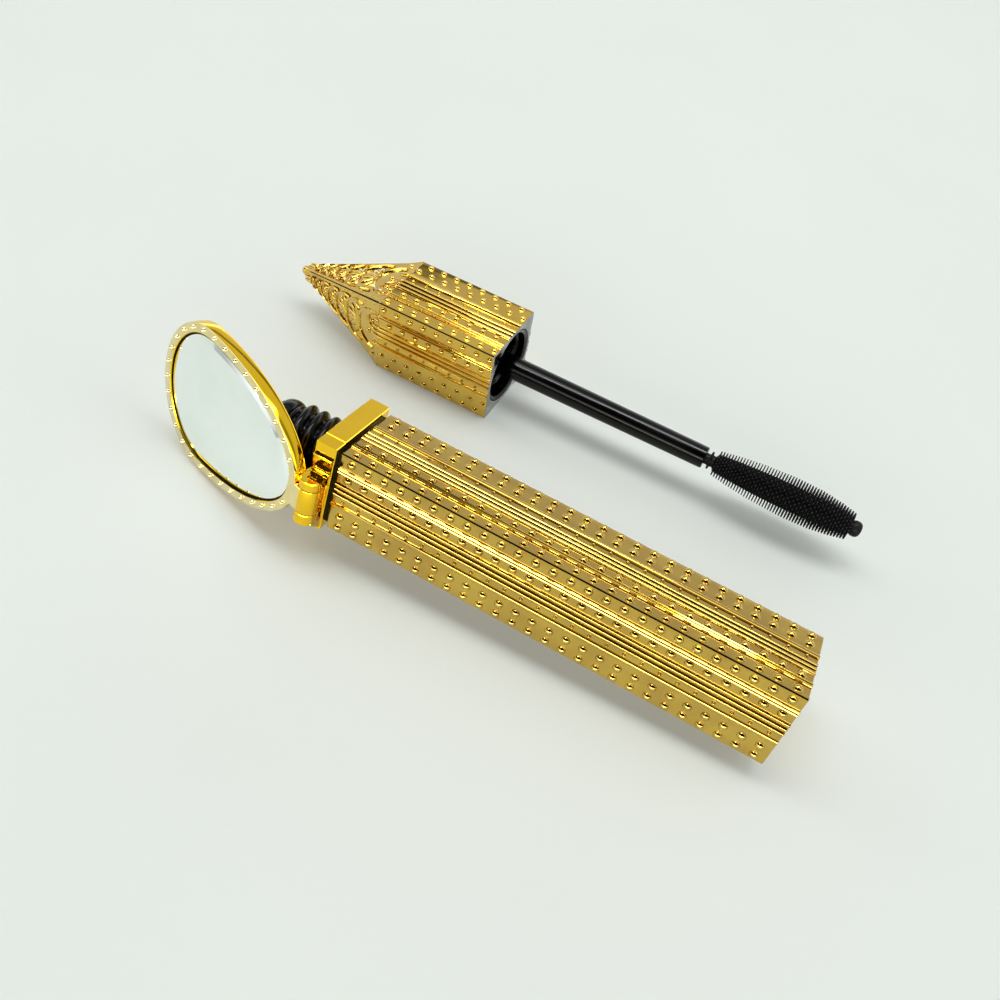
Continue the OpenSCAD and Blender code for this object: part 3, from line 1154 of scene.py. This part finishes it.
# Radius over the pins against the share of the brush: fuller past the middle, drawn in at both ends
BRUSH_SHAPE = ((0.0, 2.5), (0.12, 3.05), (0.3, 3.6), (0.55, 4.0), (0.75, 3.85), (0.9, 3.3), (1.0, 2.7))


def bristle_reach(share):
    """Radius over the pins at a share of the brush."""
    for (a, low), (b, high) in zip(BRUSH_SHAPE, BRUSH_SHAPE[1:]):
        if share <= b:
            return low + (high - low) * (share - a) / (b - a)


def brush_bristles():
    """Rings of tapered pins round the core, every second ring turned by half a step."""
    deselect()
    bpy.ops.mesh.primitive_cone_add(vertices=5, radius1=0.2, radius2=0.1, depth=1.0, location=(0, 0, 0.5))
    pin = bpy.context.object
    bpy.ops.object.transform_apply(location=True, rotation=True, scale=True)
    step = 2 * math.pi / PINS_IN_RING
    pins = []
    for number in range(PIN_RINGS):
        share = number / (PIN_RINGS - 1)
        x = BRISTLE_START + 0.25 + (BRISTLE_END - BRISTLE_START - 0.9) * share
        length = bristle_reach(share) - PIN_ROOT
        shaped = Matrix.Translation((x, 0, PIN_ROOT)) @ Matrix.Diagonal((1, 1, length, 1))
        for place in range(PINS_IN_RING):
            turn = Matrix.Rotation(step * (place + 0.5 * (number % 2)), 4, "X")
            pins.append(copied(pin, turn @ shaped))
    discard(pin)
    complete(joined(pins), "brush_bristle_pins", AT_CAP, "cap", [BRISTLE], ["brush_bristles"])


def dress_cad_nodes():
    """Finishes for the nodes whose own shape stays."""
    for name, material in (("neck_wiper", WIPER), ("mirror_pad", PAD), ("cap_liner", LINER)):
        node = frame["nodes"][name]
        node.data.materials.clear()
        node.data.materials.append(material)


outer_sleeve()
base_plug()
inner_bottle()
collar()
hinge_pin()
mirror_frame()
mirror_glass()
cap_shell()
inner_cap()
wand_stem()
brush_core()
brush_bristles()
dress_cad_nodes()


# ---------------------------------------------------------------- stage, light and camera
FLOOR_GLOW = 0.2


def floor():
    """A plain pale table that fills its own shadows a little."""
    deselect()
    bpy.ops.mesh.primitive_plane_add(size=3.0, location=(0, 0, 0))
    table = bpy.context.object
    table.name = "table"
    material, tree, place = new_material("white_laminate")
    shade(
        tree,
        {"Roughness": 0.6, "IOR": 1.4, "Emission Color": linear("#E9EEEA"), "Emission Strength": FLOOR_GLOW},
        {"Base Color": blend_colours(tree, noise(tree, place, 90.0), "#D3D8D3", "#D5DAD5")},
    )
    table.data.materials.append(material)


def softbox(name, place, target, size, power, glint=False):
    """A soft rectangular light that looks at a target; a glint shows only as a reflection."""
    light = bpy.data.lights.new(name, "AREA")
    light.shape = "RECTANGLE"
    light.size, light.size_y = size
    light.energy = power
    obj = bpy.data.objects.new(name, light)
    obj.visible_diffuse = not glint
    bpy.context.collection.objects.link(obj)
    obj.location = place
    obj.rotation_euler = (Vector(target) - Vector(place)).to_track_quat("-Z", "Y").to_euler()


# Brightness of the room by the turn about X, from the near horizon over the top to the far horizon
ROOM_BANDS = (
    (0.0, 0.8), (0.03, 2.6), (0.15, 3.2), (0.165, 2.2), (0.18, 0.04), (0.33, 0.02), (0.46, 0.03),
    (0.485, 1.8), (0.52, 4.2), (0.59, 4.2), (0.61, 0.5), (0.65, 0.35), (0.68, 1.1), (0.79, 1.15),
    (0.8, 0.2), (0.815, 0.15), (0.83, 1.1), (0.9, 1.2), (0.92, 3.4), (0.97, 3.4), (1.0, 0.8),
)
ROOM_LIGHT = 0.62
ROOM_TINT = (0.985, 1.0, 0.985)


def surroundings():
    """A pale room crossed by dark and bright bands, which give the plating its lines."""
    world = bpy.data.worlds.new("banded_room")
    bpy.context.scene.world = world
    world.use_nodes = True
    tree = world.node_tree
    tree.nodes.clear()
    direction = add_node(tree, "ShaderNodeTexCoord").outputs["Generated"]
    axes = add_node(tree, "ShaderNodeSeparateXYZ", links={"Vector": direction})
    turn = add_node(
        tree, "ShaderNodeMath", links={0: axes.outputs["Y"], 1: axes.outputs["Z"]}, operation="ARCTAN2"
    ).outputs["Value"]
    share = add_node(
        tree, "ShaderNodeMapRange", {"From Min": -math.pi / 2, "From Max": math.pi / 2}, {"Value": turn}
    ).outputs["Result"]
    ramp = add_node(tree, "ShaderNodeValToRGB", links={"Fac": share})
    # A new ramp has a stop at each end; the first is used again and the last goes
    stops = ramp.color_ramp.elements
    stops.remove(stops[-1])
    for number, (position, level) in enumerate(ROOM_BANDS):
        stop = stops.new(position) if number else stops[0]
        stop.position = position
        stop.color = [level * tint for tint in ROOM_TINT] + [1.0]
    light = add_node(
        tree, "ShaderNodeBackground", {"Strength": ROOM_LIGHT}, {"Color": ramp.outputs["Color"]}
    ).outputs["Background"]
    add_node(tree, "ShaderNodeOutputWorld", links={"Surface": light})


CAMERA_PLACE = (0.037966, -0.112486, 0.139190)
CAMERA_TURN_DEG = (39.629, -7.542, 27.660)


def camera():
    """A view from above the near side, over the middle of the tube."""
    data = bpy.data.cameras.new("camera")
    data.lens = 34.785
    data.sensor_width = 36.0
    data.clip_start = 0.005
    obj = bpy.data.objects.new("camera", data)
    bpy.context.collection.objects.link(obj)
    obj.location = CAMERA_PLACE
    obj.rotation_euler = [math.radians(angle) for angle in CAMERA_TURN_DEG]
    bpy.context.scene.camera = obj


floor()
softbox("ceiling", (-0.06, 0.12, 0.57), (0, 0, 0), (0.6, 0.22), 0.62)
softbox("near_glint", (0.1, -0.5, 0.15), (0, 0, 0), (0.9, 0.07), 2.8, glint=True)
softbox("top_glint", (-0.06, 0.05, 0.6), (0, 0, 0), (0.7, 0.05), 2.2, glint=True)
surroundings()
camera()
bpy.context.scene.view_settings.view_transform = "Standard"
